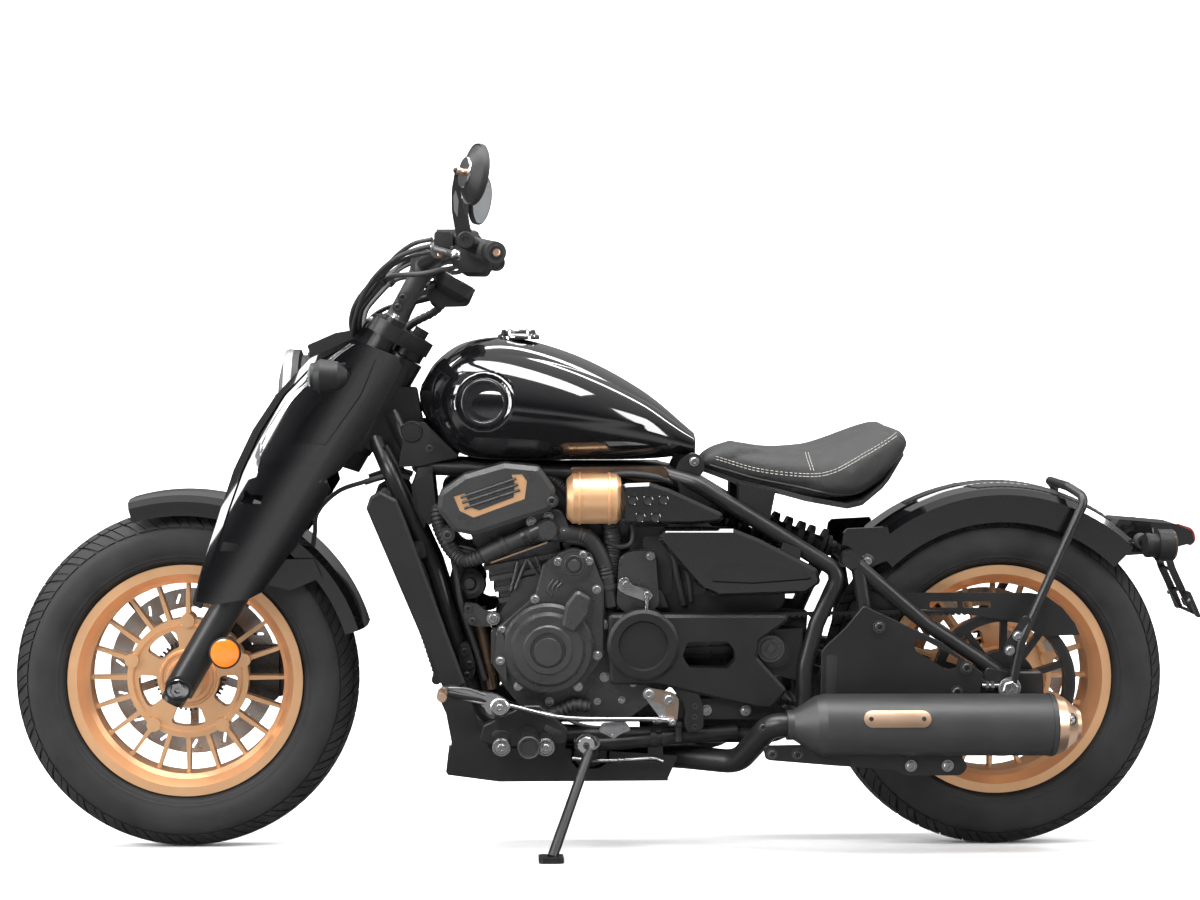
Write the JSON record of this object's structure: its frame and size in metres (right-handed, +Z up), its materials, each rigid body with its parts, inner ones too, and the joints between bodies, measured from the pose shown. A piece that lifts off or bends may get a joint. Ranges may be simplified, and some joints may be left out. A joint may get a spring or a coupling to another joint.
{
  "type": "cruiser motorcycle",
  "caption": "Low single-seat cruiser motorcycle leaning on its side stand, with wire-thin cast wheels, belt drive and a long tank.",
  "frame": {"origin": "on the ground under the middle of the whole motorcycle as it leans on its side stand", "axes": "+X towards the front wheel, +Y towards the motorcycle's left side, +Z up"},
  "size_m": [2.2232, 0.9588, 1.3388],
  "materials": {
    "black_gloss": "gloss",
    "black_satin": "satin",
    "black_matte": "matte",
    "engine_black": "satin",
    "cast_metal": "cast",
    "bronze_gold": "satin",
    "champagne": "satin",
    "chrome": "polished",
    "steel": "brushed",
    "tyre_rubber": "matte",
    "rubber": "matte",
    "leather": "grained",
    "lamp": "gloss"
  },
  "bodies": {
    "chassis": {"frame": "black_satin", "swingarm": "black_satin", "shock": "black_satin", "engine_block": "engine_black", "engine_covers": "engine_black", "valve_covers": "engine_black", "valve_inlays": "bronze_gold", "intake_canisters": "bronze_gold", "side_covers": "black_gloss", "neck_covers": "black_matte", "radiator": "black_matte", "radiator_shroud": "black_matte", "belly_pan": "black_matte", "drive_belt": "rubber", "belt_cover": "black_matte", "belt_guard": "black_matte", "swingarm_plate": "black_matte", "exhaust_pipes": "black_satin", "mufflers": "black_satin", "muffler_caps": "champagne", "fuel_tank": "black_gloss", "filler_cap": "chrome", "seat_pad": "leather", "seat_pan": "black_matte", "rear_fender": "black_gloss", "fender_hoop": "black_satin", "tail_lamp": "lamp", "rear_signals": "lamp", "plate_bracket": "black_matte", "foot_controls": "black_satin", "shift_linkage": "steel", "rear_caliper": "black_satin"},
    "fork": {"yokes": "black_satin", "fork_tubes": "black_satin", "fork_sliders": "black_satin", "fork_covers": "black_gloss", "headlamp": "black_gloss", "front_signals": "lamp", "handlebar": "black_satin", "bar_controls": "rubber", "mirrors": "black_gloss", "gauge": "black_matte", "front_fender": "black_gloss", "front_caliper": "black_satin", "bar_cables": "rubber"},
    "front_wheel": {"front_tyre": "tyre_rubber", "front_rim": "bronze_gold", "front_disc": "steel"},
    "rear_wheel": {"rear_tyre": "tyre_rubber", "rear_rim": "bronze_gold", "rear_pulley": "black_satin", "rear_disc": "steel"},
    "side_stand": {"side_stand": "black_satin"}
  },
  "joints": [
    {"name": "steering", "type": "hinge", "parent": "chassis", "child": "fork", "pos_m": [0.74683, -0.13099, 0.29183], "axis": [-0.5, 0.1205, 0.8576], "range_deg": [-35, 35]},
    {"name": "front_wheel_spin", "type": "hinge", "parent": "fork", "child": "front_wheel", "pos_m": [0.791, -0.12744, 0.31708], "axis": [0, 0.9903, -0.1392], "continuous": true},
    {"name": "rear_wheel_spin", "type": "hinge", "parent": "chassis", "child": "rear_wheel", "pos_m": [-0.731, -0.12702, 0.32005], "axis": [0, 0.9903, -0.1392], "continuous": true},
    {"name": "stand_fold", "type": "hinge", "parent": "chassis", "child": "side_stand", "pos_m": [0.04, 0.02328, 0.19674], "axis": [0.0188, 0.8597, 0.5104], "range_deg": [0, 110]}
  ]
}
